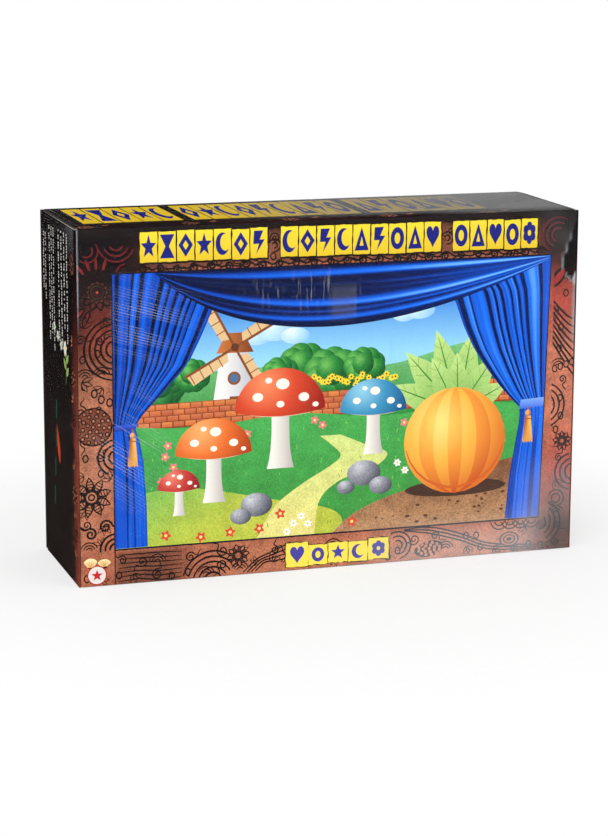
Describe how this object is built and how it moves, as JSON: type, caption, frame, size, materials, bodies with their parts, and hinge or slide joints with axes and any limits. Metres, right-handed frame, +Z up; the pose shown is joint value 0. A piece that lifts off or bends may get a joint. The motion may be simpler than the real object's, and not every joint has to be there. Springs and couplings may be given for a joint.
{
  "type": "carton of a glove-puppet theatre set",
  "caption": "Closed, film-wrapped tuck-end carton of a glove-puppet theatre set, standing on its long bottom face, with its folded stage, insert, puppets and booklet inside.",
  "frame": {"origin": "centre of the carton's bottom face", "axes": "+Z up, +X along the length, the printed front faces -Y, left end is -X"},
  "size_m": [0.38, 0.114, 0.258],
  "materials": {
    "print_front": "gloss film over print",
    "print_dark": "gloss film over print",
    "print_back": "gloss film over print",
    "raw_board": "matte",
    "corrugated": "matte",
    "screen_blue": "satin print",
    "screen_brown": "satin print",
    "hinge_tape": "woven tape",
    "booklet_paper": "coated",
    "cloth_red": "plain weave",
    "cloth_blue": "plain weave",
    "cloth_orange": "plain weave",
    "cloth_tan": "short pile",
    "cloth_grey": "short pile",
    "cloth_slate": "short pile",
    "vinyl_skin": "matte",
    "vinyl_tan": "matte",
    "vinyl_grey": "matte",
    "vinyl_slate": "matte",
    "plush_orange": "short pile",
    "plush_green": "short pile"
  },
  "bodies": {
    "carton": {"front_panel": "print_front", "back_panel": "print_back", "top_panel": "print_dark", "bottom_panel": "print_dark", "glue_flap": "raw_board", "stage_screen_centre": "screen_blue", "stage_screen_left_wing": "screen_brown", "stage_screen_left_tape": "hinge_tape", "stage_screen_right_wing": "screen_brown", "stage_screen_right_tape": "hinge_tape", "insert_shelf": "corrugated", "insert_divider_left": "corrugated", "insert_divider_middle": "corrugated", "insert_divider_right": "corrugated", "first_person_garment": "cloth_red", "first_person_head": "vinyl_skin", "second_person_garment": "cloth_blue", "second_person_head": "vinyl_skin", "third_person_garment": "cloth_orange", "third_person_head": "vinyl_skin", "first_animal_garment": "cloth_tan", "first_animal_head": "vinyl_tan", "second_animal_garment": "cloth_grey", "second_animal_head": "vinyl_grey", "third_animal_garment": "cloth_slate", "third_animal_head": "vinyl_slate", "root_vegetable_bulb": "plush_orange", "root_vegetable_leaves": "plush_green", "script_booklet": "booklet_paper"},
    "left_end": {"left_end_flap": "print_dark"},
    "left_tongue": {"left_tuck_tongue": "print_dark"},
    "left_top_dust": {"left_top_dust_flap": "print_front"},
    "left_bottom_dust": {"left_bottom_dust_flap": "print_front"},
    "right_end": {"right_end_flap": "print_dark"},
    "right_tongue": {"right_tuck_tongue": "print_dark"},
    "right_top_dust": {"right_top_dust_flap": "print_front"},
    "right_bottom_dust": {"right_bottom_dust_flap": "print_front"}
  },
  "joints": [
    {"name": "left_end_crease", "type": "hinge", "parent": "carton", "child": "left_end", "pos_m": [-0.18925, -0.05625, 0.129], "axis": [0, 0, 1], "range_deg": [0, 190]},
    {"name": "left_tongue_crease", "type": "hinge", "parent": "left_end", "child": "left_tongue", "pos_m": [-0.18925, 0.05295, 0.129], "axis": [0, 0, 1], "range_deg": [0, 29]},
    {"name": "left_top_dust_crease", "type": "hinge", "parent": "carton", "child": "left_top_dust", "pos_m": [-0.18745, 0, 0.25725], "axis": [0, 1, 0], "range_deg": [0, 86]},
    {"name": "left_bottom_dust_crease", "type": "hinge", "parent": "carton", "child": "left_bottom_dust", "pos_m": [-0.18745, 0, 0.00075], "axis": [0, -1, 0], "range_deg": [0, 86]},
    {"name": "right_end_crease", "type": "hinge", "parent": "carton", "child": "right_end", "pos_m": [0.18925, -0.05625, 0.129], "axis": [0, 0, -1], "range_deg": [0, 190]},
    {"name": "right_tongue_crease", "type": "hinge", "parent": "right_end", "child": "right_tongue", "pos_m": [0.18925, 0.05295, 0.129], "axis": [0, 0, -1], "range_deg": [0, 29]},
    {"name": "right_top_dust_crease", "type": "hinge", "parent": "carton", "child": "right_top_dust", "pos_m": [0.18745, 0, 0.25725], "axis": [0, -1, 0], "range_deg": [0, 86]},
    {"name": "right_bottom_dust_crease", "type": "hinge", "parent": "carton", "child": "right_bottom_dust", "pos_m": [0.18745, 0, 0.00075], "axis": [0, 1, 0], "range_deg": [0, 86]}
  ],
  "couplings": [
    {"joint": "left_tongue_crease", "follows": "left_end_crease", "ratio": 0.15},
    {"joint": "left_top_dust_crease", "follows": "left_end_crease", "ratio": 0.45},
    {"joint": "left_bottom_dust_crease", "follows": "left_end_crease", "ratio": 0.45},
    {"joint": "right_tongue_crease", "follows": "right_end_crease", "ratio": 0.15},
    {"joint": "right_top_dust_crease", "follows": "right_end_crease", "ratio": 0.45},
    {"joint": "right_bottom_dust_crease", "follows": "right_end_crease", "ratio": 0.45}
  ]
}
